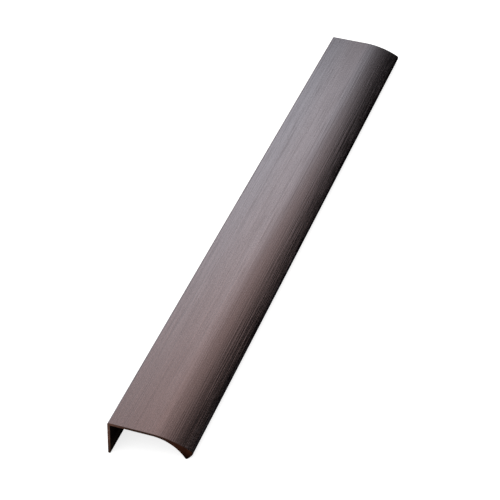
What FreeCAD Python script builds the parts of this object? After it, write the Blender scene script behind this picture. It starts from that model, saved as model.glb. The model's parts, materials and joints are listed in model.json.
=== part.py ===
import FreeCAD, Part
import math
import os

# Finger pull profile for a door or drawer front, one piece of extruded aluminium.
# It is an angle whose top plate runs forward over the edge of the panel, curves
# down and thickens into a solid lip. Fingers reach up behind the lip and pull.
# All sizes are in millimetres. The section is drawn with x running forward from
# the back of the leg, z running up from the top of the plate, and y as the length.

# Sizes of the whole piece
LENGTH = 350.0
DEPTH = 40.0
WALL = 1.2

# The leg that hangs behind the panel
LEG_HEIGHT = 18.0
FOOT_RADIUS = 0.45
REAR_CORNER_RADIUS = 0.8

# The curved front: how far back from the nose the plate starts to curve, and the
# arcs of its top, its nose and the front of the lip
CURVE_DEPTH = 20.0
TOP_RADIUS = 42.0
NOSE_RADIUS = 1.5
FRONT_RADIUS = 15.0

# The lip's tip, and the hollow behind it that the fingers pull on
LIP_DROP = 9.8
TIP_SETBACK = 3.0
TIP_RADIUS = 0.7
FINGER_RADIUS = 18.5

# Countersunk screw holes through the leg, in a row along the length
HOLE_COUNT = 3
HOLE_DIAMETER = 4.0
HOLE_END_DISTANCE = 15.0
HOLE_DROP = 10.0
COUNTERSINK_DIAMETER = 5.6
COUNTERSINK_ANGLE = 90.0

# A cutter starts this far outside the face that it goes into
CUT_CLEARANCE = 1.0

# Centres of the arcs, worked out so that each runs smoothly into the next
FLAT_DEPTH = DEPTH - CURVE_DEPTH
NOSE_REACH = CURVE_DEPTH - NOSE_RADIUS
TOP_CENTRE = (FLAT_DEPTH, -TOP_RADIUS)
NOSE_CENTRE = (
    DEPTH - NOSE_RADIUS,
    math.sqrt((TOP_RADIUS - NOSE_RADIUS) ** 2 - NOSE_REACH ** 2) - TOP_RADIUS,
)
TIP_CENTRE = (DEPTH - TIP_SETBACK, TIP_RADIUS - LIP_DROP)
FINGER_CENTRE_Z = -WALL - FINGER_RADIUS
FINGER_REACH = math.sqrt(
    (FINGER_RADIUS + TIP_RADIUS) ** 2 - (TIP_CENTRE[1] - FINGER_CENTRE_Z) ** 2
)
FINGER_CENTRE = (TIP_CENTRE[0] - FINGER_REACH, FINGER_CENTRE_Z)
FOOT_FRONT_CENTRE = (WALL - FOOT_RADIUS, FOOT_RADIUS - LEG_HEIGHT)
FOOT_REAR_CENTRE = (FOOT_RADIUS, FOOT_RADIUS - LEG_HEIGHT)
REAR_CORNER_CENTRE = (REAR_CORNER_RADIUS, -REAR_CORNER_RADIUS)


def front_centre():
    """Centre of the arc that joins the nose to the tip, touching both from outside."""
    from_nose = FRONT_RADIUS - NOSE_RADIUS
    from_tip = FRONT_RADIUS - TIP_RADIUS
    run = TIP_CENTRE[0] - NOSE_CENTRE[0]
    rise = TIP_CENTRE[1] - NOSE_CENTRE[1]
    span = math.hypot(run, rise)
    along = (from_nose ** 2 - from_tip ** 2 + span ** 2) / (2 * span)
    aside = math.sqrt(from_nose ** 2 - along ** 2)
    x = NOSE_CENTRE[0] + (run * along + rise * aside) / span
    z = NOSE_CENTRE[1] + (rise * along - run * aside) / span
    return (x, z)


def bearing(start, end):
    """Angle in degrees of the line from one point of the section to another."""
    return math.degrees(math.atan2(end[1] - start[1], end[0] - start[0]))


def at(x, z):
    """A point of the section, at the near end of the profile."""
    return FreeCAD.Vector(x, -LENGTH / 2, z)


def on_circle(centre, radius, degrees):
    angle = math.radians(degrees)
    return at(centre[0] + radius * math.cos(angle), centre[1] + radius * math.sin(angle))


def arc(centre, radius, start, end):
    """An arc of the section between two angles in degrees."""
    middle = (start + end) / 2
    points = [on_circle(centre, radius, degrees) for degrees in (start, middle, end)]
    return Part.Arc(*points).toShape()


def line(start, end):
    return Part.LineSegment(start, end).toShape()


def section():
    """The closed outline of the extrusion, from the rear corner round by the lip."""
    front = front_centre()
    top_to_nose = bearing(TOP_CENTRE, NOSE_CENTRE)
    nose_to_front = bearing(front, NOSE_CENTRE)
    front_to_tip = bearing(front, TIP_CENTRE)
    finger_to_tip = bearing(FINGER_CENTRE, TIP_CENTRE)
    corner = arc(REAR_CORNER_CENTRE, REAR_CORNER_RADIUS, 180, 90)
    top = arc(TOP_CENTRE, TOP_RADIUS, 90, top_to_nose)
    nose = arc(NOSE_CENTRE, NOSE_RADIUS, top_to_nose, nose_to_front)
    lip_front = arc(front, FRONT_RADIUS, nose_to_front, front_to_tip)
    tip = arc(TIP_CENTRE, TIP_RADIUS, front_to_tip, finger_to_tip - 180)
    hollow = arc(FINGER_CENTRE, FINGER_RADIUS, finger_to_tip, 90)
    foot_front = arc(FOOT_FRONT_CENTRE, FOOT_RADIUS, 0, -90)
    foot_rear = arc(FOOT_REAR_CENTRE, FOOT_RADIUS, -90, -180)
    edges = [
        corner,
        line(at(REAR_CORNER_RADIUS, 0), at(FLAT_DEPTH, 0)),
        top,
        nose,
        lip_front,
        tip,
        hollow,
        line(at(FINGER_CENTRE[0], -WALL), at(WALL, -WALL)),
        line(at(WALL, -WALL), at(WALL, FOOT_FRONT_CENTRE[1])),
        foot_front,
        line(at(FOOT_FRONT_CENTRE[0], -LEG_HEIGHT), at(FOOT_REAR_CENTRE[0], -LEG_HEIGHT)),
        foot_rear,
        line(at(0, FOOT_REAR_CENTRE[1]), at(0, -REAR_CORNER_RADIUS)),
    ]
    return Part.Wire(edges)


def screw_hole(y):
    """One hole through the leg, countersunk on the back for a flush screw head."""
    forward = FreeCAD.Vector(1, 0, 0)
    start = FreeCAD.Vector(-CUT_CLEARANCE, y, -HOLE_DROP)
    hole = Part.makeCylinder(HOLE_DIAMETER / 2, WALL + 2 * CUT_CLEARANCE, start, forward)
    slope = math.tan(math.radians(COUNTERSINK_ANGLE / 2))
    mouth = COUNTERSINK_DIAMETER / 2 + CUT_CLEARANCE * slope
    countersink = Part.makeCone(mouth, 0, mouth / slope, start, forward)
    return hole.fuse(countersink)


def hole_places():
    """Places along the length: the end holes keep their distance from the sawn ends."""
    first = HOLE_END_DISTANCE - LENGTH / 2
    pitch = (LENGTH - 2 * HOLE_END_DISTANCE) / (HOLE_COUNT - 1)
    return [first + pitch * i for i in range(HOLE_COUNT)]


def resting_angle():
    """How far the piece leans forward, laid down on its foot and the tip of its lip."""
    run = TIP_CENTRE[0] - FOOT_FRONT_CENTRE[0]
    rise = TIP_CENTRE[1] - FOOT_FRONT_CENTRE[1]
    level = math.atan2(rise, run)
    difference = math.asin((TIP_RADIUS - FOOT_RADIUS) / math.hypot(run, rise))
    return math.degrees(level - difference)


def laid_down(solid):
    """The piece as it lies on a level floor, centred over the origin."""
    solid.rotate(FreeCAD.Vector(0, 0, 0), FreeCAD.Vector(0, 1, 0), resting_angle())
    box = solid.optimalBoundingBox(False, False)
    solid.translate(FreeCAD.Vector(-box.Center.x, 0, -box.ZMin))
    return solid


profile = Part.Face(section()).extrude(FreeCAD.Vector(0, LENGTH, 0))
for y in hole_places():
    profile = profile.cut(screw_hole(y))
profile = laid_down(profile.Solids[0])

os.makedirs("parts", exist_ok=True)
profile.exportStep("parts/pull_profile.step")
print("solids", len(profile.Solids), "valid", profile.isValid())
print("leans forward by", round(resting_angle(), 3), "degrees")
print("volume in cubic millimetres", round(profile.Volume, 1))
box = profile.optimalBoundingBox(False, False)
print("box", [round(v, 3) for v in (box.XMin, box.YMin, box.ZMin, box.XMax, box.YMax, box.ZMax)])
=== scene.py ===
# %% [markdown]
# # A brushed finger pull profile
#
# The object is one length of extruded aluminium: a short leg that goes behind a
# door or drawer front, a flat plate over its edge, and a front that curves down and
# thickens into a lip to pull on. It is brushed along its length and anodised dark
# bronze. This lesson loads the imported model, which fixes the size and the place of
# everything, and then gives the piece a smooth surface, its finish, and a studio.

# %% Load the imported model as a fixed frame
import json
import math

import bpy
import numpy as np
from mathutils import Matrix, Vector


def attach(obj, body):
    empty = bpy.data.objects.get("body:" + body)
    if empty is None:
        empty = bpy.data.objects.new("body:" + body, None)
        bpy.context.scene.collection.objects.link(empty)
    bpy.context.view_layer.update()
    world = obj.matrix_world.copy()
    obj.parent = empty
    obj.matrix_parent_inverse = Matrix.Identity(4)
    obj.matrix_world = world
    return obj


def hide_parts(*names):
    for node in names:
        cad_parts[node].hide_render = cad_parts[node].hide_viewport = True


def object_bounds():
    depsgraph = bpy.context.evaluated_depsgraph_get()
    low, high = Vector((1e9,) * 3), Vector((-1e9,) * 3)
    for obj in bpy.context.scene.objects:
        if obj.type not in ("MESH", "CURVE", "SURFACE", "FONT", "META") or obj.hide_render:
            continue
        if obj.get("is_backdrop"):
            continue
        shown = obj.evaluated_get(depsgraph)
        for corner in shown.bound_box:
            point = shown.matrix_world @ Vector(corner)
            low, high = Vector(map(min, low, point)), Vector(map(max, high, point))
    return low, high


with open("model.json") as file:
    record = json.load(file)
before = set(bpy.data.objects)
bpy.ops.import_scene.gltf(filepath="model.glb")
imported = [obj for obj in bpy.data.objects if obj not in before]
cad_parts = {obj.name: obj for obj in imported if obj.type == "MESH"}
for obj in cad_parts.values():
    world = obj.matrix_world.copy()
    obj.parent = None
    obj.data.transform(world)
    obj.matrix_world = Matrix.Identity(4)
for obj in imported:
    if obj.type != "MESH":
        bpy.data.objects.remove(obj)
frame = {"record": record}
CAD_LOW, CAD_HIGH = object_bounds()
print("box in mm", [round(1000 * v, 2) for v in (*CAD_LOW, *CAD_HIGH)])

# %% [markdown]
# ## Sizes
#
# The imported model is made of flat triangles, about one for every five to eight
# degrees of a curve. That is right for its size, but on metal every facet shows. So
# the piece gets a finer surface of exactly the same shape. Its section has the sizes
# below, in metres. The length is read from the frame instead, so that the two can't
# disagree.

# %% Sizes of the section
MM = 0.001
LENGTH = CAD_HIGH.y - CAD_LOW.y
DEPTH = 40.0 * MM
WALL = 1.2 * MM
LEG_HEIGHT = 18.0 * MM
FOOT_RADIUS = 0.45 * MM
REAR_CORNER_RADIUS = 0.8 * MM
CURVE_DEPTH = 20.0 * MM
TOP_RADIUS = 42.0 * MM
NOSE_RADIUS = 1.5 * MM
FRONT_RADIUS = 15.0 * MM
LIP_DROP = 9.8 * MM
TIP_SETBACK = 3.0 * MM
TIP_RADIUS = 0.7 * MM
FINGER_RADIUS = 18.5 * MM
FLAT_DEPTH = DEPTH - CURVE_DEPTH
print("length", round(LENGTH / MM, 1), "mm, flat part of the plate", round(FLAT_DEPTH / MM, 1), "mm")

# %% [markdown]
# ## The section as a chain of runs
#
# A section is easiest to draw flat, with x running forward from the back of the leg
# and z running up from the top of the plate. It is a chain of lines and arcs, each
# running smoothly into the next. Each run keeps its own normals. Where two runs meet
# smoothly their normals agree, and where they meet in a crease they differ, and the
# crease stays sharp.
#
# Numpy makes each run in one go. An arc is its centre plus its radius times the
# cosine and sine of an array of angles.

# %% Lines and arcs
ARC_STEP = 3.0


def line_run(start, end, normal, pieces=1):
    """Points from start to end in equal steps, all with the same normal."""
    share = np.linspace(0, 1, pieces + 1)[:, None]
    points = np.array(start) * (1 - share) + np.array(end) * share
    return points, np.tile(np.array(normal, float), (pieces + 1, 1))


def arc_run(centre, radius, start, end, hollow=False):
    """Points at centre plus radius times (cos a, sin a), for angles a in degrees.
    The normal is (cos a, sin a), or its opposite where the arc is hollow."""
    steps = max(2, int(round(abs(end - start) / ARC_STEP)))
    angle = np.radians(np.linspace(start, end, steps + 1))
    outwards = np.stack([np.cos(angle), np.sin(angle)], axis=1)
    points = np.array(centre) + radius * outwards
    return points, -outwards if hollow else outwards


def bearing(start, end):
    """Angle in degrees of the line from start to end."""
    return math.degrees(math.atan2(end[1] - start[1], end[0] - start[0]))


print("points in a quarter round", len(arc_run((0, 0), 1.0, 90, 0)[0]))

# %% [markdown]
# ## Centres of the arcs
#
# Two arcs run smoothly into each other when the distance between their centres is the
# difference of their radii, or their sum where one is hollow. Every centre below
# follows from that rule.

# %% Centres of the arcs
TOP_CENTRE = (FLAT_DEPTH, -TOP_RADIUS)
nose_run = CURVE_DEPTH - NOSE_RADIUS
nose_rise = math.sqrt((TOP_RADIUS - NOSE_RADIUS) ** 2 - nose_run ** 2)
NOSE_CENTRE = (DEPTH - NOSE_RADIUS, nose_rise - TOP_RADIUS)
TIP_CENTRE = (DEPTH - TIP_SETBACK, TIP_RADIUS - LIP_DROP)
finger_z = -WALL - FINGER_RADIUS
finger_run = math.sqrt((FINGER_RADIUS + TIP_RADIUS) ** 2 - (TIP_CENTRE[1] - finger_z) ** 2)
FINGER_CENTRE = (TIP_CENTRE[0] - finger_run, finger_z)
FOOT_FRONT_CENTRE = (WALL - FOOT_RADIUS, FOOT_RADIUS - LEG_HEIGHT)
FOOT_REAR_CENTRE = (FOOT_RADIUS, FOOT_RADIUS - LEG_HEIGHT)


def front_centre():
    """Centre of the arc that holds the nose and the tip from outside: its distance
    from each of their centres is its radius less theirs."""
    from_nose, from_tip = FRONT_RADIUS - NOSE_RADIUS, FRONT_RADIUS - TIP_RADIUS
    run, rise = np.subtract(TIP_CENTRE, NOSE_CENTRE)
    span = math.hypot(run, rise)
    along = (from_nose ** 2 - from_tip ** 2 + span ** 2) / (2 * span)
    aside = math.sqrt(from_nose ** 2 - along ** 2)
    x = NOSE_CENTRE[0] + (run * along + rise * aside) / span
    z = NOSE_CENTRE[1] + (rise * along - run * aside) / span
    return (x, z)


FRONT_CENTRE = front_centre()
print("nose centre in mm", np.round(np.array(NOSE_CENTRE) / MM, 2))

# %% [markdown]
# ## The runs in order
#
# The chain starts at the rear corner and goes forward over the top, round the lip,
# and back under the plate to the foot of the leg. The two faces of the leg are left
# out of this list, because the screw holes go through them and they need a grid of
# their own.

# %% The runs of the section
top_to_nose = bearing(TOP_CENTRE, NOSE_CENTRE)
nose_to_front = bearing(FRONT_CENTRE, NOSE_CENTRE)
front_to_tip = bearing(FRONT_CENTRE, TIP_CENTRE)
finger_to_tip = bearing(FINGER_CENTRE, TIP_CENTRE)
UP, DOWN = (0, 1), (0, -1)
FLAT_PIECES = 4
corner_centre = (REAR_CORNER_RADIUS, -REAR_CORNER_RADIUS)
RUNS = {
    "rear_corner": arc_run(corner_centre, REAR_CORNER_RADIUS, 180, 90),
    "flat_top": line_run((REAR_CORNER_RADIUS, 0), (FLAT_DEPTH, 0), UP, FLAT_PIECES),
    "curved_top": arc_run(TOP_CENTRE, TOP_RADIUS, 90, top_to_nose),
    "nose": arc_run(NOSE_CENTRE, NOSE_RADIUS, top_to_nose, nose_to_front),
    "lip_front": arc_run(FRONT_CENTRE, FRONT_RADIUS, nose_to_front, front_to_tip),
    "tip": arc_run(TIP_CENTRE, TIP_RADIUS, front_to_tip, finger_to_tip - 180),
    "hollow": arc_run(FINGER_CENTRE, FINGER_RADIUS, finger_to_tip, 90, hollow=True),
    "underside": line_run((FINGER_CENTRE[0], -WALL), (WALL, -WALL), DOWN, FLAT_PIECES),
    "foot_front": arc_run(FOOT_FRONT_CENTRE, FOOT_RADIUS, 0, -90),
    "foot": line_run(
        (FOOT_FRONT_CENTRE[0], -LEG_HEIGHT), (FOOT_REAR_CENTRE[0], -LEG_HEIGHT), DOWN
    ),
    "foot_rear": arc_run(FOOT_REAR_CENTRE, FOOT_RADIUS, -90, -180),
}
BRUSHED_RUNS = ("rear_corner", "flat_top", "curved_top", "nose", "lip_front")
print({name: len(points) for name, (points, normals) in RUNS.items()})

# %% [markdown]
# ## Where the piece lies
#
# Its leg is longer than its lip is deep, so on a level floor it leans forward on the
# foot and the tip. The lean is the slope of the line that touches both rounds from
# below. Points of the section turn by it about the length, and then move so that the
# whole piece is centred over the origin and stands on the floor.

# %% From the section to the floor
foot_to_tip = np.subtract(TIP_CENTRE, FOOT_FRONT_CENTRE)
LEAN = math.atan2(foot_to_tip[1], foot_to_tip[0]) - math.asin(
    (TIP_RADIUS - FOOT_RADIUS) / math.hypot(*foot_to_tip)
)


def leaning(x, y, z):
    """Turns (x, z) by the lean: x' = x cos + z sin, z' = z cos - x sin."""
    cos, sin = math.cos(LEAN), math.sin(LEAN)
    return np.stack([x * cos + z * sin, y, z * cos - x * sin], axis=-1)


def section_reach():
    """Least x, greatest x and least z of the leaning section, from its round ends."""
    foot = leaning(FOOT_REAR_CENTRE[0], 0, FOOT_REAR_CENTRE[1])[0] - FOOT_RADIUS
    nose = leaning(NOSE_CENTRE[0], 0, NOSE_CENTRE[1])[0] + NOSE_RADIUS
    tip = leaning(TIP_CENTRE[0], 0, TIP_CENTRE[1])[2] - TIP_RADIUS
    return foot, nose, tip


reach = section_reach()
SHIFT = np.array([-(reach[0] + reach[1]) / 2, 0, -reach[2]])
print("leans forward by", round(math.degrees(LEAN), 2), "degrees")

# %% [markdown]
# ## Patches
#
# The surface is a set of patches. A patch is a grid of points with a grid of normals
# and a grid of texture coordinates, all of them functions of two parameters. The
# collector below turns each grid into quads, faces them outwards, and keeps the
# normals of every corner. Points that two patches share are found by rounding, so
# that the finished mesh is closed.

# %% Collect patches
PATCHES = []


def add_patch(points, normals, texture, finish):
    """points, normals and texture are (rows, columns, 3, 3 or 2) arrays in the section's
    own axes. A quad joins (i, j), (i, j+1), (i+1, j+1), (i+1, j). It is turned over
    where the cross product of its sides is opposite to its normal."""
    normals = np.broadcast_to(normals, points.shape)
    rows, columns = points.shape[:2]
    index = np.arange(rows * columns).reshape(rows, columns)
    quads = np.stack(
        [index[:-1, :-1], index[:-1, 1:], index[1:, 1:], index[1:, :-1]], axis=-1
    ).reshape(-1, 4)
    flat = points.reshape(-1, 3)
    across = np.cross(flat[quads[:, 2]] - flat[quads[:, 0]], flat[quads[:, 3]] - flat[quads[:, 1]])
    facing = (across * normals.reshape(-1, 3)[quads].mean(axis=1)).sum(axis=1)
    quads = np.where(facing[:, None] < 0, quads[:, ::-1], quads)
    PATCHES.append((flat, normals.reshape(-1, 3), texture.reshape(-1, 2), quads, finish))


print("patches so far", len(PATCHES))

# %% [markdown]
# ## Screw holes
#
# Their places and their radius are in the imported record, as mounts, so they are read
# from there. Each pattern is a pair of holes on a circle round its centre. The mount's
# position gives the place along the length as it is, and turned back into the section
# it gives the height in the leg.

# %% Read the holes from the record
hole_mounts = [m for m in frame["record"]["mounts"] if m["kind"] == "bolt_pattern"]
HOLE_RADIUS = hole_mounts[0]["dims"]["hole_r_mm"] * MM
COUNTERSINK_RADIUS = 2.8 * MM
MICROMETRE_DIGITS = 6
half_pitch = hole_mounts[0]["dims"]["pcd_mm"] * MM / 2
hole_places = [m["pos_m"][1] + side * half_pitch for m in hole_mounts for side in (-1, 1)]
HOLES_Y = np.unique(np.round(hole_places, MICROMETRE_DIGITS))
mount_place = np.array(hole_mounts[0]["pos_m"]) - SHIFT
HOLE_Z = mount_place[0] * math.sin(LEAN) + mount_place[2] * math.cos(LEAN)
print("holes at y in mm", HOLES_Y / MM, "and", round(HOLE_Z / MM, 2), "mm below the plate's top")

# %% [markdown]
# ## Stations along the length
#
# A straight piece needs few cuts along its length. The leg needs more round each hole,
# where a square window of the grid is swapped for a patch that turns the square into a
# circle. The same stations serve every patch, so that neighbours share their points.

# %% Stations
EDGE_BREAK = 0.12 * MM
WINDOW = 5.0 * MM
WINDOW_STEPS = 12
PLAIN_STEPS = 10
STATION_DIGITS = 9
window_steps = np.linspace(-WINDOW, WINDOW, WINDOW_STEPS + 1)
last_y = LENGTH / 2 - EDGE_BREAK
STATIONS_Y = np.unique(np.round(np.concatenate([
    np.linspace(-last_y, last_y, PLAIN_STEPS + 1),
    (HOLES_Y[:, None] + window_steps).ravel(),
]), STATION_DIGITS))
print(len(STATIONS_Y), "stations along the length")

# %% [markdown]
# ## Sweep the runs
#
# A run carried along the length is a grid: one parameter runs round the section and
# the other along y. The texture coordinates are U, the distance round the section, and
# V, the distance along the length. Both are in metres, so that a brush mark has the
# same width everywhere.

# %% Sweep each run along the length
def distance_round(points):
    """Running sum of the steps between the points of a run."""
    steps = np.hypot(*np.diff(points, axis=0).T)
    return np.concatenate([[0], np.cumsum(steps)])


def sweep(points, normals, along, start, finish):
    """The run at every y in along. start is the distance round the section so far."""
    y = np.broadcast_to(along[:, None], (len(along), len(points)))
    x, z = np.broadcast_to(points[:, 0], y.shape), np.broadcast_to(points[:, 1], y.shape)
    nx, nz = np.broadcast_to(normals[:, 0], y.shape), np.broadcast_to(normals[:, 1], y.shape)
    round_it = np.broadcast_to(start + distance_round(points), y.shape)
    add_patch(
        np.stack([x, y, z], axis=-1),
        np.stack([nx, np.zeros(y.shape), nz], axis=-1),
        np.stack([round_it, y], axis=-1),
        finish,
    )


BRUSHED, PLAIN, SAWN = 0, 1, 2
ROUND = {}
travelled = 0.0
for name, (points, normals) in RUNS.items():
    ROUND[name] = travelled
    sweep(points, normals, STATIONS_Y, travelled, BRUSHED if name in BRUSHED_RUNS else PLAIN)
    travelled += distance_round(points)[-1]
print("distance round the swept runs", round(travelled / MM, 1), "mm")

# %% [markdown]
# ## The faces of the leg, with their holes
#
# Each face is a grid of y by z with its windows left out. In a window the grid runs
# from a circle to the square's edge: a point is the circle's point times (1 - t) plus
# the square's point times t. The points on the square are evenly spaced, and the
# points on the circle lie in the same directions.

# %% Faces of the leg
FOOT_Z = FOOT_FRONT_CENTRE[1]
WINDOW_RINGS = 4
CLOSE = 0.001 * MM


def square_loop():
    """Points round a square window, anticlockwise from its lower left corner, closed."""
    low, high = np.full(WINDOW_STEPS, -WINDOW), np.full(WINDOW_STEPS, WINDOW)
    up, back = window_steps[:-1], window_steps[:0:-1]
    loop = np.concatenate([
        np.stack([up, low], axis=1), np.stack([high, up], axis=1),
        np.stack([back, high], axis=1), np.stack([low, back], axis=1),
    ])
    return np.concatenate([loop, loop[:1]])


SQUARE = square_loop()
ROUND_HOLE = SQUARE / np.hypot(*SQUARE.T)[:, None]


def stations_up(highest):
    """Heights in the leg from the foot up to highest, with those of the windows."""
    stations = np.concatenate([[FOOT_Z, highest], HOLE_Z + window_steps])
    return np.unique(np.round(stations, STATION_DIGITS))


def leg_face(x, highest, normal, hole_radius, finish):
    """The grid at this x, from the foot up to highest, less its windows, and a patch
    from circle to square in each window. The grid is whole below and above the windows,
    and between them it is cut into the gaps that they leave."""
    stations_z = stations_up(highest)
    low_z, high_z = HOLE_Z - WINDOW, HOLE_Z + WINDOW
    face_patch(x, STATIONS_Y, between(stations_z, FOOT_Z, low_z), normal, finish)
    face_patch(x, STATIONS_Y, between(stations_z, high_z, highest), normal, finish)
    for start, end in zip([-last_y, *(HOLES_Y + WINDOW)], [*(HOLES_Y - WINDOW), last_y]):
        gap_y = between(STATIONS_Y, start, end)
        face_patch(x, gap_y, between(stations_z, low_z, high_z), normal, finish)
    share = np.linspace(0, 1, WINDOW_RINGS + 1)[:, None, None]
    window = hole_radius * ROUND_HOLE * (1 - share) + SQUARE * share
    for y in HOLES_Y:
        put_on_face(x, y + window[..., 0], HOLE_Z + window[..., 1], normal, finish)


def between(stations, start, end):
    """The stations from start to end, both included."""
    return stations[(stations > start - CLOSE) & (stations < end + CLOSE)]


def face_patch(x, along_y, along_z, normal, finish):
    """The grid of these stations, as one flat patch."""
    grid_y, grid_z = np.meshgrid(along_y, along_z, indexing="ij")
    put_on_face(x, grid_y, grid_z, normal, finish)


def put_on_face(x, grid_y, grid_z, normal, finish):
    """A flat patch at this x. Its texture coordinates are z and y."""
    points = np.stack([np.full(grid_y.shape, x), grid_y, grid_z], axis=-1)
    add_patch(points, np.array(normal, float), np.stack([grid_z, grid_y], axis=-1), finish)


leg_face(0.0, -REAR_CORNER_RADIUS, (-1, 0, 0), COUNTERSINK_RADIUS, BRUSHED)
leg_face(WALL, -WALL, (1, 0, 0), HOLE_RADIUS, PLAIN)
print("patches so far", len(PATCHES))

# %% [markdown]
# ## Walls of the holes
#
# A countersink is a short cone from its mouth on the back face down to the hole's own
# radius, and then the hole runs straight on. Both are rings of the same directions as
# the windows use, so that the edges meet point for point.

# %% Walls of the holes
SINK_DEPTH = COUNTERSINK_RADIUS - HOLE_RADIUS


def ring_wall(x_from, r_from, x_to, r_to, normal_x, normal_r):
    """Rings from one radius to another while x moves on, for every hole. A point is
    (x, y + r cos a, z + r sin a), and its normal leans inwards by normal_r."""
    x = np.array([x_from, x_to])[:, None] * np.ones(len(ROUND_HOLE))
    radius = np.array([r_from, r_to])[:, None]
    for y in HOLES_Y:
        around = np.stack([x, y + radius * ROUND_HOLE[:, 0], HOLE_Z + radius * ROUND_HOLE[:, 1]], axis=-1)
        inwards = np.stack([
            np.full(len(ROUND_HOLE), normal_x), -normal_r * ROUND_HOLE[:, 0], -normal_r * ROUND_HOLE[:, 1]
        ], axis=-1)
        turned = np.arctan2(ROUND_HOLE[:, 1], ROUND_HOLE[:, 0]) * HOLE_RADIUS
        texture = np.stack([x, turned * np.ones_like(x)], axis=-1)
        add_patch(around, np.broadcast_to(inwards, around.shape), texture, PLAIN)


SLOPE = math.sqrt(0.5)
ring_wall(0.0, COUNTERSINK_RADIUS, SINK_DEPTH, HOLE_RADIUS, -SLOPE, SLOPE)
ring_wall(SINK_DEPTH, HOLE_RADIUS, WALL, HOLE_RADIUS, 0.0, 1.0)
print("patches so far", len(PATCHES))

# %% [markdown]
# ## Sawn ends
#
# A saw leaves an edge that is then just broken with a file, about a tenth of a
# millimetre. Without it a rendered edge looks like cut paper, because no light catches
# on it. The break is a quarter round: while an angle goes from 0 to 90 degrees, the
# point moves out by its sine and in by one less its cosine.
#
# The flat end itself is one face, because it is flat and its outline is the whole
# story.

# %% The outline in one loop
ORDER = (
    "rear_corner", "flat_top", "curved_top", "nose", "lip_front", "tip", "hollow",
    "underside", "leg_inside", "foot_front", "foot", "foot_rear", "leg_outside",
)
inside_z = stations_up(-WALL)[::-1]
outside_z = stations_up(-REAR_CORNER_RADIUS)
LEG_RUNS = {
    "leg_inside": (
        np.stack([np.full(len(inside_z), WALL), inside_z], axis=1),
        np.tile([1.0, 0.0], (len(inside_z), 1)),
    ),
    "leg_outside": (
        np.stack([np.zeros(len(outside_z)), outside_z], axis=1),
        np.tile([-1.0, 0.0], (len(outside_z), 1)),
    ),
}
ALL_RUNS = {name: (RUNS | LEG_RUNS)[name] for name in ORDER}
print("runs in the loop", len(ALL_RUNS))


def inset_of(name, normals):
    """The way in from each point of a run, as an outward vector. It is the normal, but
    at the crease inside the corner it is the sum of the two normals that meet there."""
    way = normals.copy()
    if name == "underside":
        way[-1] = (1, -1)
    if name == "leg_inside":
        way[0] = (1, -1)
    return way


# %% [markdown]
# Each run is rounded over at both ends of the piece. While its points move out along
# the length, they move in along their normals, and where they arrive is the outline of
# the flat end.

# %% Broken edges and flat ends
BREAK_STEPS = 4
turn = np.radians(np.linspace(0, 90, BREAK_STEPS + 1))[:, None]


def broken_edge(name, points, normals, side):
    """The quarter round along one run at one end. side is -1 or 1 along y."""
    way = inset_of(name, normals)
    inwards = EDGE_BREAK * (1 - np.cos(turn))
    x = points[:, 0] - inwards * way[:, 0]
    z = points[:, 1] - inwards * way[:, 1]
    y = side * (LENGTH / 2 - EDGE_BREAK + EDGE_BREAK * np.sin(turn)) * np.ones(len(points))
    outwards = side * np.sin(turn) * np.ones(len(points))
    normal = np.stack([np.cos(turn) * normals[:, 0], outwards, np.cos(turn) * normals[:, 1]], axis=-1)
    add_patch(np.stack([x, y, z], axis=-1), normal, np.stack([x, z], axis=-1), SAWN)


CAPS = []
for side in (-1, 1):
    loop = []
    for name, (points, normals) in ALL_RUNS.items():
        broken_edge(name, points, normals, side)
        inner = points - EDGE_BREAK * inset_of(name, normals)
        loop.append(inner[:-1])
    loop = np.concatenate(loop)
    CAPS.append(np.insert(loop, 1, side * LENGTH / 2, axis=1)[::side])
print("points round an end", len(CAPS[0]))

# %% [markdown]
# ## One closed mesh
#
# All patches go into one mesh. Rounding every point to a hundred-thousandth of a
# millimetre finds the ones that are shared, and numpy's unique gives each its number.
# Then every corner gets its own normal, so that flat faces stay flat, curves stay
# smooth and creases stay sharp, whatever the size of the faces.

# %% Join the patches
def join_patches():
    """Points, corner numbers, corner counts, corner normals, corner texture
    coordinates and the finish of each face, patches first and then the two ends."""
    points, corners, counts, normals, texture, finish = [], [], [], [], [], []
    base = 0
    for flat, normal, coordinates, quads, number in PATCHES:
        points.append(flat)
        corners.append(quads.ravel() + base)
        counts.append(np.full(len(quads), 4))
        normals.append(normal[quads.ravel()])
        texture.append(coordinates[quads.ravel()])
        finish.append(np.full(len(quads), number))
        base += len(flat)
    for cap in CAPS:
        points.append(cap)
        corners.append(np.arange(len(cap)) + base)
        counts.append(np.array([len(cap)]))
        normals.append(np.tile([0.0, np.sign(cap[0, 1]), 0.0], (len(cap), 1)))
        texture.append(cap[:, [0, 2]])
        finish.append(np.array([SAWN]))
        base += len(cap)
    return [np.concatenate(part) for part in (points, corners, counts, normals, texture, finish)]


POINT_DIGITS = 5
all_points, corners, counts, corner_normals, corner_texture, face_finish = join_patches()
in_mm = np.round(all_points / MM, POINT_DIGITS)
rounded, number_of = np.unique(in_mm, axis=0, return_inverse=True)
corners = number_of.ravel()[corners]
placed = leaning(*(rounded * MM).T) + SHIFT
corner_normals = leaning(*corner_normals.T)
corner_normals /= np.linalg.norm(corner_normals, axis=1)[:, None]
print(len(placed), "points,", len(counts), "faces")

# %% [markdown]
# The arrays go straight into the mesh: a face is a start and a count in the list of
# corners. An edge that only one face uses would be a gap, so the last line counts
# them.

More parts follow.
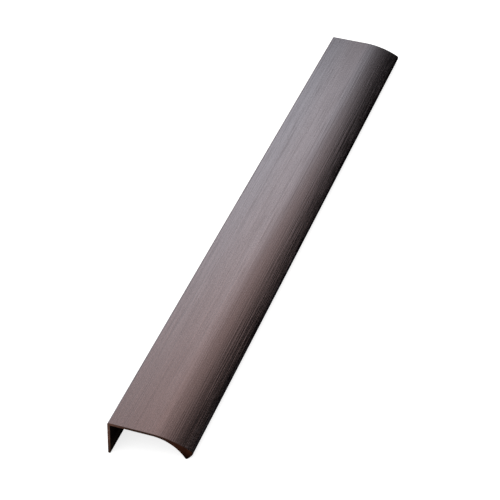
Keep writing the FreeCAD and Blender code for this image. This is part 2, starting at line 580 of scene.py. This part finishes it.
# %% Make the mesh
def make_mesh(name, points, corners, counts):
    """A mesh from arrays: points, the point of each corner, and corners per face."""
    mesh = bpy.data.meshes.new(name)
    mesh.vertices.add(len(points))
    mesh.vertices.foreach_set("co", points.astype(np.float32).ravel())
    mesh.loops.add(len(corners))
    mesh.loops.foreach_set("vertex_index", corners.astype(np.int32))
    mesh.polygons.add(len(counts))
    starts = np.concatenate([[0], np.cumsum(counts)[:-1]])
    mesh.polygons.foreach_set("loop_start", starts.astype(np.int32))
    mesh.update(calc_edges=True)
    mesh.validate()
    return mesh


def open_edges(corners, counts):
    """How many edges don't belong to exactly two faces."""
    starts = np.concatenate([[0], np.cumsum(counts)[:-1]])
    following = np.arange(1, len(corners) + 1)
    following[np.cumsum(counts) - 1] = starts
    ends = np.sort(np.stack([corners, corners[following]], axis=1), axis=1)
    used = np.unique(ends, axis=0, return_counts=True)[1]
    return int((used != 2).sum())


mesh = make_mesh("brushed_profile", placed, corners, counts)
uv = mesh.uv_layers.new(name="brush")
uv.uv.foreach_set("vector", corner_texture.astype(np.float32).ravel())
mesh.polygons.foreach_set("material_index", face_finish.astype(np.int32))
mesh.polygons.foreach_set("use_smooth", np.ones(len(counts), bool))
mesh.normals_split_custom_set(corner_normals)
print("open edges", open_edges(corners, counts), "polygons kept", len(mesh.polygons), "of", len(counts))

# %% [markdown]
# ## The piece rides on the frame
#
# The finer surface stands for the CAD node, which stays hidden for collision. It rides
# on the only body, and its object stays at the origin.

# %% Put the piece in the scene
profile = bpy.data.objects.new("brushed_profile", mesh)
bpy.context.scene.collection.objects.link(profile)
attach(profile, "root")
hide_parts("pull_profile")
low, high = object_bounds()
off_box = np.subtract((*low, *high), (*CAD_LOW, *CAD_HIGH)) / MM
print("off the CAD box by, in mm", off_box.round(3).tolist())

# %% [markdown]
# ## How a brushed surface is made
#
# The real piece is sanded with a belt along its length, and then coloured. The belt
# leaves straight scratches, a fraction of a millimetre wide and from a millimetre to
# many centimetres long. A picture of scratches would blur close up and repeat along
# the length. Noise that is squeezed across the brush and stretched along it looks the
# same from near and far, and never repeats. It reads the mesh's own UV map, whose
# units are metres along the surface, so scratches follow the curve and keep their
# width.
#
# The first helpers start a material, read the map, and make one layer of scratches.

# %% One layer of scratches
def new_material(name):
    """A material with its nodes, its links and its surface shader."""
    material = bpy.data.materials.new(name)
    material.use_nodes = True
    nodes = material.node_tree.nodes
    return material, nodes, material.node_tree.links, nodes["Principled BSDF"]


def brush_map(nodes):
    """The UV map: the way round the section and the way along, both in metres."""
    brush = nodes.new("ShaderNodeUVMap")
    brush.uv_map = "brush"
    return brush.outputs["UV"]


def map_place(nodes, links):
    """The two coordinates of the map as two values, U and V."""
    place = nodes.new("ShaderNodeSeparateXYZ")
    links.new(brush_map(nodes), place.inputs["Vector"])
    return place.outputs["X"], place.outputs["Y"]


def streaks(nodes, links, width, length, offset, detail=1.0, turn=0.0):
    """Noise between 0 and 1 whose coordinates are U over width and V over length. The
    map is first turned by turn, in degrees, and the noise is moved by offset."""
    turning = nodes.new("ShaderNodeMapping")
    turning.inputs["Rotation"].default_value = (0, 0, math.radians(turn))
    scaling = nodes.new("ShaderNodeMapping")
    scaling.inputs["Scale"].default_value = (1 / width, 1 / length, 1)
    scaling.inputs["Location"].default_value = (offset, 3 * offset, 0)
    noise = nodes.new("ShaderNodeTexNoise")
    noise.noise_dimensions = "2D"
    noise.inputs["Scale"].default_value = 1.0
    noise.inputs["Detail"].default_value = detail
    links.new(brush_map(nodes), turning.inputs["Vector"])
    links.new(turning.outputs["Vector"], scaling.inputs["Vector"])
    links.new(scaling.outputs["Vector"], noise.inputs["Vector"])
    return noise.outputs["Fac"]


print("the map has", len(mesh.uv_layers["brush"].uv), "corners")

# %% [markdown]
# ## Sums between nodes
#
# A finish is a few layers, each brought to its own strength, added up or multiplied.
# The studio's light is made in the same way from angles. These helpers say such a sum
# in one line each.

# %% Sums between nodes
def ranged(nodes, links, value, low, high, out_low, out_high, smooth=False):
    """Brings value from low..high to out_low..out_high, and holds it there outside."""
    node = nodes.new("ShaderNodeMapRange")
    node.interpolation_type = "SMOOTHSTEP" if smooth else "LINEAR"
    node.inputs["From Min"].default_value = low
    node.inputs["From Max"].default_value = high
    node.inputs["To Min"].default_value = out_low
    node.inputs["To Max"].default_value = out_high
    links.new(value, node.inputs["Value"])
    return node.outputs["Result"]


def combined(nodes, links, operation, first, second):
    """One sum of two values, each a socket or a number."""
    node = nodes.new("ShaderNodeMath")
    node.operation = operation
    for socket, value in zip(node.inputs, (first, second)):
        if isinstance(value, float):
            socket.default_value = value
        else:
            links.new(value, socket)
    return node.outputs["Value"]


def total(nodes, links, values):
    """The sum of several values."""
    result = values[0]
    for value in values[1:]:
        result = combined(nodes, links, "ADD", result, value)
    return result


def mixed(nodes, links, low, high, share):
    """low + share * (high - low), where low and high are each a socket or a number."""
    rise = combined(nodes, links, "SUBTRACT", high, low)
    return combined(nodes, links, "ADD", combined(nodes, links, "MULTIPLY", rise, share), low)


# %% [markdown]
# ## Colour and height
#
# A shade near 1 makes a colour lighter or darker and leaves its hue. A share between 0
# and 1 goes from one colour to another. Height tilts the surface for light alone. It
# is for marks of a few hundredths of a millimetre, far too fine to be made as shapes.

# %% Colour and height
def tinted(nodes, links, colour, shade):
    """colour * shade. The colour is a socket or three numbers."""
    node = nodes.new("ShaderNodeVectorMath")
    node.operation = "SCALE"
    if isinstance(colour, tuple):
        node.inputs[0].default_value = colour
    else:
        links.new(colour, node.inputs[0])
    links.new(shade, node.inputs["Scale"])
    return node.outputs["Vector"]


def blended(nodes, links, first, second, share):
    """first + share * (second - first) for colours, each a socket or four numbers."""
    node = nodes.new("ShaderNodeMix")
    node.data_type = "RGBA"
    for name, value in (("A", first), ("B", second)):
        socket = next(s for s in node.inputs if s.name == name and s.type == "RGBA")
        if isinstance(value, tuple):
            socket.default_value = value
        else:
            links.new(value, socket)
    links.new(share, node.inputs["Factor"])
    return next(s for s in node.outputs if s.type == "RGBA")


def bumped(nodes, links, shader, height, distance):
    """Bump whose height of 0 to 1 stands for this many metres."""
    bump = nodes.new("ShaderNodeBump")
    bump.inputs["Strength"].default_value = 1.0
    bump.inputs["Distance"].default_value = distance
    links.new(height, bump.inputs["Height"])
    links.new(bump.outputs["Normal"], shader.inputs["Normal"])


# %% [markdown]
# ## The brushed face
#
# Bronze-coloured anodising is a thin dark layer over bright metal, so the surface is a
# metal with a dark colour. These things make it look brushed:
#
# - Its highlights stretch across the brush, because the scratches' sides face left and
#   right and never along. That is anisotropy, with the tangent running across.
# - Fine scratches tilt the surface a little, so where light changes fast over the
#   curve, each one shows as a thin light or dark line. That is bump. The belt bites
#   deeper as the plate curves away from it.
# - A few scratches are deeper and broken in places. They hold more of the dark colour
#   and spread light more widely.
# - The colour is a shade cooler at the back of the plate, and a shade warmer and
#   darker just before it bends. That warmer band is a painted reflection of warm light.
# - Just past the start of the nose the colour is painted nearly black. That is
#   painted shade, so that the nose stays dark where it would mirror the bright floor.
#
# Each layer below is a width, a length and a shift, so that no two look alike. Noise
# is near a half nearly everywhere, so its middle range is what gets spread out.

# %% Layers of scratches
MOST_NOISE, SLOW_NOISE, DEEP_NOISE = (0.25, 0.75), (0.3, 0.7), (0.62, 0.76)
LAYERS = {
    "grain": (0.4 * MM, 1.4 * MM, 3.1),
    "short": (0.42 * MM, 30 * MM, 51.3),
    "long": (0.5 * MM, 150 * MM, 5.3),
    "deep": (0.36 * MM, 400 * MM, 85.1),
    "broken": (2.5 * MM, 30 * MM, 15.2),
    "bands": (5 * MM, 300 * MM, 1.9),
}
SHADES = {
    "grain": (*MOST_NOISE, 0.93, 1.07),
    "short": (*MOST_NOISE, -0.05, 0.05),
    "long": (*MOST_NOISE, -0.05, 0.05),
    "bands": (*SLOW_NOISE, -0.03, 0.03),
    "deep": (*DEEP_NOISE, 0.0, -0.18),
}
BROKEN_HEIGHT, WHOLE_HEIGHT = -0.12, 0.06


def scratches(nodes, links):
    """Every layer by name. The deep one is lowered, and so broken, in patches."""
    layers = {name: streaks(nodes, links, *sizes) for name, sizes in LAYERS.items()}
    gaps = ranged(nodes, links, layers["broken"], *SLOW_NOISE, BROKEN_HEIGHT, WHOLE_HEIGHT)
    layers["deep"] = total(nodes, links, [layers["deep"], gaps])
    return layers


def scratched_shade(nodes, links, layers):
    """A shade near 1: what the grain gives, and what each other layer adds to it."""
    return total(nodes, links, [
        ranged(nodes, links, layers[name], *shade) for name, shade in SHADES.items()
    ])


print("layers, width and length in mm", {
    name: (round(width / MM, 2), round(length / MM, 1)) for name, (width, length, shift) in LAYERS.items()
})

# %% [markdown]
# The bend and the nose are places round the section, so they are values of U, which
# the sweep has kept by name. The other places are measured from them, or from the
# rear corner, where U starts.

# %% Brushed bronze
COOL_BRONZE, PAINTED_REFLECTION_BRONZE = (0.306, 0.266, 0.281, 1), (0.298, 0.248, 0.257, 1)
BEND, NOSE = ROUND["curved_top"], ROUND["nose"]
REFLECTION_START, REFLECTION_FULL, REFLECTION_END = 3 * MM, 17 * MM, BEND + 5 * MM
BITE_START = BEND + 6.5 * MM
LEAST_BITE, MOST_BITE = 0.6, 1.85
NOSE_SHADE_START, NOSE_SHADE_END = NOSE - 0.3 * MM, NOSE + 0.6 * MM
PAINTED_NOSE_SHADE = 0.07
SCRATCH_DEPTH = 0.036 * MM
GRAIN_HEIGHT = 0.4
SMOOTH, SCRATCHED = 0.195, 0.25
STRETCH = 0.8
EDGE_TINT = (0.15, 0.15, 0.15, 1)


def brushed_colour_and_reflection(nodes, links, around):
    """Cool at the back, warm before the bend and cool again after it. The warm band is a painted
    reflection.
    """
    rising = ranged(nodes, links, around, REFLECTION_START, REFLECTION_FULL, 0.0, 1.0, smooth=True)
    falling = ranged(nodes, links, around, BEND, REFLECTION_END, 1.0, 0.0, smooth=True)
    painted_reflection = combined(nodes, links, "MULTIPLY", rising, falling)
    return blended(nodes, links, COOL_BRONZE, PAINTED_REFLECTION_BRONZE, painted_reflection)


def brushed_bronze():
    """Scratches in colour, roughness and height. The highlight follows the tangent."""
    material, nodes, links, shader = new_material("brushed_bronze")
    shader.inputs["Metallic"].default_value = 1.0
    shader.inputs["Anisotropic"].default_value = STRETCH
    shader.inputs["Specular Tint"].default_value = EDGE_TINT
    tangent = nodes.new("ShaderNodeTangent")
    tangent.direction_type = "UV_MAP"
    tangent.uv_map = "brush"
    links.new(tangent.outputs["Tangent"], shader.inputs["Tangent"])
    around = map_place(nodes, links)[0]
    layers = scratches(nodes, links)
    # Painted shade: past the start of the nose the colour falls to nearly black.
    painted_nose_darkening = ranged(nodes, links, around, NOSE_SHADE_START, NOSE_SHADE_END, 1.0, PAINTED_NOSE_SHADE, smooth=True)
    shade = combined(nodes, links, "MULTIPLY", scratched_shade(nodes, links, layers), painted_nose_darkening)
    # Painted reflection: a warmer, slightly darker tint just before the bend.
    colour = brushed_colour_and_reflection(nodes, links, around)
    links.new(tinted(nodes, links, colour, shade), shader.inputs["Base Color"])
    roughness = ranged(nodes, links, layers["deep"], *DEEP_NOISE, SMOOTH, SCRATCHED)
    links.new(roughness, shader.inputs["Roughness"])
    bite = ranged(nodes, links, around, BITE_START, NOSE, LEAST_BITE, MOST_BITE, smooth=True)
    low_grain = combined(nodes, links, "MULTIPLY", layers["grain"], GRAIN_HEIGHT)
    height = total(nodes, links, [low_grain, layers["short"], layers["long"]])
    height = combined(nodes, links, "MULTIPLY", height, bite)
    bumped(nodes, links, shader, height, SCRATCH_DEPTH)
    return material


mesh.materials.append(brushed_bronze())
# Where the painted shade on the nose reaches its full strength.
print("the belt ends", round((NOSE_SHADE_END - NOSE) / MM, 1), "mm past the start of the nose")

# %% [markdown]
# ## The faces that nobody sees
#
# The belt doesn't reach the inside of the channel, the hollow of the lip or the
# holes. They are dark bronze with the faint straight lines that the die leaves when
# the metal is pressed through it. The colour is nearly black: partly the unbrushed
# bronze's own colour, partly painted shade, as these faces lie in the piece's shade.

# %% Dark bronze, as it left the die, with painted shade
DARK_BRONZE_AND_SHADE = (0.030, 0.023, 0.021)
DIE_LINES, DIE_CLOUDS = (0.4 * MM, 250 * MM, 2.3), (6 * MM, 40 * MM, 9.1)
DIE_LINE_DEPTH = 0.01 * MM
LINE_SHADES, CLOUD_SHADES = (0.82, 1.18), (-0.12, 0.12)
CLOUD_ROUGHNESS = (0.38, 0.5)
DIE_EDGE_TINT = (0.3, 0.3, 0.3, 1)


def plain_bronze_and_shade():
    """Faint lines and clouds in colour, roughness and height."""
    material, nodes, links, shader = new_material("plain_bronze_and_shade")
    shader.inputs["Metallic"].default_value = 1.0
    shader.inputs["Specular Tint"].default_value = DIE_EDGE_TINT
    lines = streaks(nodes, links, *DIE_LINES, detail=2.0)
    cloud = streaks(nodes, links, *DIE_CLOUDS, detail=2.0)
    shade = total(nodes, links, [
        ranged(nodes, links, lines, *MOST_NOISE, *LINE_SHADES),
        ranged(nodes, links, cloud, *SLOW_NOISE, *CLOUD_SHADES),
    ])
    # The dark colour is partly the bronze's own and partly painted shade.
    links.new(tinted(nodes, links, DARK_BRONZE_AND_SHADE, shade), shader.inputs["Base Color"])
    roughness = ranged(nodes, links, cloud, *SLOW_NOISE, *CLOUD_ROUGHNESS)
    links.new(roughness, shader.inputs["Roughness"])
    bumped(nodes, links, shader, lines, DIE_LINE_DEPTH)
    return material


mesh.materials.append(plain_bronze_and_shade())
print("lines of the die", round(DIE_LINE_DEPTH / MM, 3), "mm deep")

# %% [markdown]
# ## The sawn ends
#
# The pieces are cut to length before they are coloured. A circular saw leaves close
# lines that cross the section at a slant, and the colour takes differently on the
# rough cut: it comes out a dark brown. It gets warmer where the section thickens into
# the lip. Painted light and shade make it lighter towards the top of the leg and
# nearly black at the tip, darker near the floor. An end's map is its own section,
# forward and up, so all of that is a function of the two coordinates.

# %% Sawn bronze
SAWN_BROWN, LIP_BROWN = (0.038, 0.021, 0.016, 1), (0.034, 0.0135, 0.009, 1)
LEG_ENDS, LIP_STARTS = 2 * MM, 10 * MM
BROWNEST = DEPTH - 6 * MM
LEG_TOP_PAINTED_LIGHT, LIP_TIP_PAINTED_SHADE = 2.4, 0.12
SAW_MARKS, BLOTCHES = (0.16 * MM, 9 * MM, 4.7), (2.5 * MM, 2.5 * MM, 6.1)
SAW_ANGLE = 62
SAW_DEPTH = 0.01 * MM
MARK_SHADES, BLOTCH_SHADES = (0.8, 1.2), (-0.15, 0.15)
SAWN_ROUGHNESS = (0.4, 0.55)
SAWN_EDGE_TINT = (0.1, 0.1, 0.1, 1)


# Painted light and shade on the sawn ends: lighter up the leg, nearly black at the tip.
def sawn_painted_light_and_shade(nodes, links, forward, upward):
    """1 at the foot and LEG_TOP_PAINTED_LIGHT at the top of the leg, LIP_TIP_PAINTED_SHADE at the tip and 1
    above it, and a mix of the two in between."""
    on_lip = ranged(nodes, links, forward, LEG_ENDS, LIP_STARTS, 0.0, 1.0)
    leg_painted_light = ranged(nodes, links, upward, -LEG_HEIGHT, -LEG_HEIGHT / 2, 1.0, LEG_TOP_PAINTED_LIGHT)
    lip_painted_shade = ranged(nodes, links, upward, -LIP_DROP, -LIP_DROP / 2, LIP_TIP_PAINTED_SHADE, 1.0)
    return mixed(nodes, links, leg_painted_light, lip_painted_shade, on_lip)


def sawn_bronze():
    """Saw lines in colour, roughness and height, over a brown that changes slowly, with painted light and
    shade.
    """
    material, nodes, links, shader = new_material("sawn_bronze")
    shader.inputs["Metallic"].default_value = 1.0
    shader.inputs["Specular Tint"].default_value = SAWN_EDGE_TINT
    marks = streaks(nodes, links, *SAW_MARKS, detail=2.0, turn=SAW_ANGLE)
    blotches = streaks(nodes, links, *BLOTCHES, detail=2.0)
    shade = total(nodes, links, [
        ranged(nodes, links, marks, *MOST_NOISE, *MARK_SHADES),
        ranged(nodes, links, blotches, *SLOW_NOISE, *BLOTCH_SHADES),
    ])
    forward, upward = map_place(nodes, links)
    # Painted light and shade: lighter up the leg, nearly black at the tip of the lip.
    shade = combined(nodes, links, "MULTIPLY", shade, sawn_painted_light_and_shade(nodes, links, forward, upward))
    browner = ranged(nodes, links, forward, FLAT_DEPTH, BROWNEST, 0.0, 1.0)
    colour = blended(nodes, links, SAWN_BROWN, LIP_BROWN, browner)
    links.new(tinted(nodes, links, colour, shade), shader.inputs["Base Color"])
    roughness = ranged(nodes, links, marks, *MOST_NOISE, *SAWN_ROUGHNESS)
    links.new(roughness, shader.inputs["Roughness"])
    bumped(nodes, links, shader, marks, SAW_DEPTH)
    return material


mesh.materials.append(sawn_bronze())
print("materials", [material.name for material in mesh.materials])

# %% [markdown]
# ## A white floor that keeps a shadow
#
# The photograph has a plain white ground. More light on the floor would also be more
# light on the object, so instead the floor glows with a strength of 1, and only for
# rays that come from the camera or from a reflection. Under the piece the glow is
# weaker by the share of the sky that the piece covers. The camera sees a quarter of
# that, as a soft shadow. A reflection sees all of it, so the dark inside of the
# channel shows in the metal too.

# %% Floor
FLOOR_SIZE = 30.0
FLOOR_GREY = 0.5
SHADOW_REACH = 40 * MM
SEEN_SHADOW = 0.25
half = FLOOR_SIZE / 2
floor_corners = [(-half, -half, 0), (half, -half, 0), (half, half, 0), (-half, half, 0)]
floor_mesh = bpy.data.meshes.new("floor")
floor_mesh.from_pydata(floor_corners, [], [(0, 1, 2, 3)])
floor = bpy.data.objects.new("floor", floor_mesh)
bpy.context.scene.collection.objects.link(floor)
floor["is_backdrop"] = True
floor_material, nodes, links, shader = new_material("white_floor")
shader.inputs["Base Color"].default_value = (FLOOR_GREY, FLOOR_GREY, FLOOR_GREY, 1)
shader.inputs["Roughness"].default_value = 1.0
shader.inputs["Specular IOR Level"].default_value = 0.0
shader.inputs["Emission Color"].default_value = (1, 1, 1, 1)
floor_mesh.materials.append(floor_material)
print("floor", FLOOR_SIZE, "m square")

# %% [markdown]
# Light Path says what kind of ray has reached the floor, and Ambient Occlusion how much
# of the sky is open there.

# %% The floor's glow
path = nodes.new("ShaderNodeLightPath")
open_sky = nodes.new("ShaderNodeAmbientOcclusion")
open_sky.inputs["Distance"].default_value = SHADOW_REACH
seen_glow = ranged(nodes, links, open_sky.outputs["AO"], 0.0, 1.0, 1 - SEEN_SHADOW, 1.0)
seen_glow = combined(nodes, links, "MULTIPLY", seen_glow, path.outputs["Is Camera Ray"])
mirrored = combined(
    nodes, links, "MAXIMUM", path.outputs["Is Glossy Ray"], path.outputs["Is Transmission Ray"]
)
mirrored_glow = combined(nodes, links, "MULTIPLY", open_sky.outputs["AO"], mirrored)
glow = combined(nodes, links, "ADD", seen_glow, mirrored_glow)
links.new(glow, shader.inputs["Emission Strength"])
print("the camera sees", SEEN_SHADOW, "of the shadow")

# %% [markdown]
# ## The studio
#
# Metal is a picture of the room round it. The room here is plain and pale, with one
# soft light in front of the piece and a dark gap to the right of it. The flat part of
# the plate mirrors the light, and the curve runs across its soft edge into the gap,
# so it goes from bright to nearly black.
#
# The light is a function of two angles, the azimuth (0 along the length, growing
# towards the lip) and the elevation. The world's own direction gives both, and an edge
# of the light is a smooth step between two angles.

# %% Angles of a direction
world = bpy.data.worlds.new("studio")
bpy.context.scene.world = world
world.use_nodes = True
nodes, links = world.node_tree.nodes, world.node_tree.links
background = nodes["Background"]
direction = nodes.new("ShaderNodeTexCoord")
split = nodes.new("ShaderNodeSeparateXYZ")
links.new(direction.outputs["Generated"], split.inputs["Vector"])
azimuth = combined(nodes, links, "ARCTAN2", split.outputs["X"], split.outputs["Y"])
elevation = combined(nodes, links, "ARCSINE", split.outputs["Z"], 0.0)


def step(angle, edge, before, after):
    """A smooth step from before to after, where edge is its two angles in degrees."""
    low, high = math.radians(edge[0]), math.radians(edge[1])
    return ranged(nodes, links, angle, low, high, before, after, smooth=True)


def product(first, second):
    """Two values multiplied, each a socket or a number."""
    return combined(nodes, links, "MULTIPLY", first, second)


def larger(first, second):
    """The larger of two values, each a socket or a number."""
    return combined(nodes, links, "MAXIMUM", first, second)


print("world", world.name)

# %% [markdown]
# The light in front is wide and soft, with a brighter strip where the flat part
# mirrors it. It fades downwards and upwards, so the piece gets darker towards both
# ends. It is also weaker at two corners. Elevation plus most of the square of the
# azimuth, less a little of the azimuth itself, hardly changes across the far end of
# the piece, so a step in it darkens that end. And azimuth plus elevation is largest
# where the near end curves down.

# %% The light in front
SOFT_LIGHT = 0.65
STRIP_LIGHT = 1.10
HIGH_LIGHT = 0.54
BOW, BOW_TILT, BOW_LIGHT = 0.9, -0.13, 0.3
CORNER_LIGHT = 0.4
LOWEST_LIGHT = 0.01
SOFT_EDGE = (11, 35.5)
STRIP_LEFT, STRIP_RIGHT = (-14.5, -6.5), (-6.5, 7)
LOW_EDGE, HIGH_EDGE = (27.4, 36.2), (38, 53.5)
BOW_EDGE, CORNER_EDGE = (31.1, 34.35), (62, 71)
soft = step(azimuth, SOFT_EDGE, SOFT_LIGHT, 0.0)
strip = product(step(azimuth, STRIP_LEFT, 0.0, STRIP_LIGHT), step(azimuth, STRIP_RIGHT, 1.0, 0.0))
to_lip = larger(azimuth, 0.0)
rising = product(product(to_lip, to_lip), BOW)
bowed = total(nodes, links, [elevation, rising, product(azimuth, BOW_TILT)])
corner = total(nodes, links, [azimuth, elevation])
fading_down = step(elevation, LOW_EDGE, LOWEST_LIGHT, 1.0)
fading_up = step(elevation, HIGH_EDGE, 1.0, HIGH_LIGHT)
heights = product(fading_down, fading_up)
heights = product(heights, step(bowed, BOW_EDGE, BOW_LIGHT, 1.0))
heights = product(heights, step(corner, CORNER_EDGE, 1.0, CORNER_LIGHT))
window = product(total(nodes, links, [soft, strip]), heights)
print("light up to", round(SOFT_LIGHT + STRIP_LIGHT, 2))

# %% [markdown]
# The gap ends well to the right and close to the floor, where the plate doesn't mirror
# it in the photograph. Everywhere else are pale walls and a pale ceiling, so from any
# side the piece has something to mirror. To the camera the whole room is white.

# %% The gap, the walls and the ceiling
WALL_LIGHT = 0.8
SLANT = 0.39
GAP_LEFT, GAP_RIGHT = (-40, -22), (65, 90)
GAP_SLANT, GAP_LOW = (18, 28), (8, 16)
FOOT_LEFT, FOOT_RIGHT = (12, 24), (42, 52)
CEILING_EDGE = (58, 75)
slanting = combined(nodes, links, "ADD", elevation, product(azimuth, SLANT))
gap_right = step(azimuth, GAP_RIGHT, 1.0, 0.0)
gap_below = product(step(slanting, GAP_SLANT, 0.0, 1.0), step(elevation, GAP_LOW, 0.0, 1.0))
gap_foot = product(step(azimuth, FOOT_LEFT, 0.0, 1.0), step(azimuth, FOOT_RIGHT, 1.0, 0.0))
in_front = product(larger(product(gap_right, gap_below), gap_foot), step(azimuth, GAP_LEFT, 0.0, 1.0))
ceiling = step(elevation, CEILING_EDGE, 0.0, WALL_LIGHT)
strength = larger(mixed(nodes, links, WALL_LIGHT, window, in_front), ceiling)
seen = nodes.new("ShaderNodeLightPath").outputs["Is Camera Ray"]
links.new(mixed(nodes, links, strength, 1.0, seen), background.inputs["Strength"])
print("walls and ceiling", WALL_LIGHT)

# %% [markdown]
# In the photograph the piece is bluish where it mirrors low parts of the light and
# reddish where it mirrors high ones and the edge by the gap. Only that light is
# coloured. The walls and the ceiling are neutral.

# %% The colour of the light
COOL, WARM, NEUTRAL = (1.0, 1.135, 1.195, 1), (1.0, 0.765, 0.68, 1), (1, 1, 1, 1)
WARM_EDGE = (33, 47)
light_colour = blended(nodes, links, COOL, WARM, step(slanting, WARM_EDGE, 0.0, 1.0))
mirrored_only = product(in_front, combined(nodes, links, "SUBTRACT", 1.0, seen))
links.new(blended(nodes, links, NEUTRAL, light_colour, mirrored_only), background.inputs["Color"])
print("cool", COOL[:3], "warm", WARM[:3])

# %% [markdown]
# ## The camera
#
# The camera stands where the photographer's stood. Its place, direction and focal
# length were worked out from the vanishing points of the length, the depth and the
# height, and then refined until nearly every edge lay within half a pixel of the one
# in the photograph.

# %% Camera
CAMERA_PLACE = Vector((0.327892, -0.703016, 0.493060))
CAMERA_AZIMUTH = 26.030
CAMERA_ELEVATION = 32.858
CAMERA_ROLL = -12.974
FOCAL_PIXELS = 1787.6
PICTURE_PIXELS = 500
SENSOR = 36.0

turn_left, turn_down = math.radians(CAMERA_AZIMUTH), math.radians(CAMERA_ELEVATION)
look = Vector((
    -math.sin(turn_left) * math.cos(turn_down),
    math.cos(turn_left) * math.cos(turn_down),
    -math.sin(turn_down),
))
level = look.to_track_quat("-Z", "Y").to_matrix().to_4x4()
roll = Matrix.Rotation(math.radians(CAMERA_ROLL), 4, "Z")
camera_data = bpy.data.cameras.new("camera")
camera_data.sensor_width = SENSOR
camera_data.lens = SENSOR * FOCAL_PIXELS / PICTURE_PIXELS
camera = bpy.data.objects.new("camera", camera_data)
camera.matrix_world = Matrix.Translation(CAMERA_PLACE) @ level @ roll
bpy.context.scene.collection.objects.link(camera)
bpy.context.scene.camera = camera
print("camera at", [round(v, 3) for v in CAMERA_PLACE], "lens", round(camera_data.lens, 1), "mm")

# %% [markdown]
# ## Colours as written
#
# The Standard view shows every colour as it is written, with white at 1. Other views
# bend bright values down and would make the white floor grey.

# %% Colours as written
bpy.context.scene.view_settings.view_transform = "Standard"
print("view", bpy.context.scene.view_settings.view_transform)

# %% [markdown]
# ## Sizes for the record of this run
#
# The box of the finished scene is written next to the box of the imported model, so that
# anyone can see that they agree.

# %% Sizes for the record of this run
low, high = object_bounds()
print("finished box in mm", [round(v / MM, 2) for v in (*low, *high)])
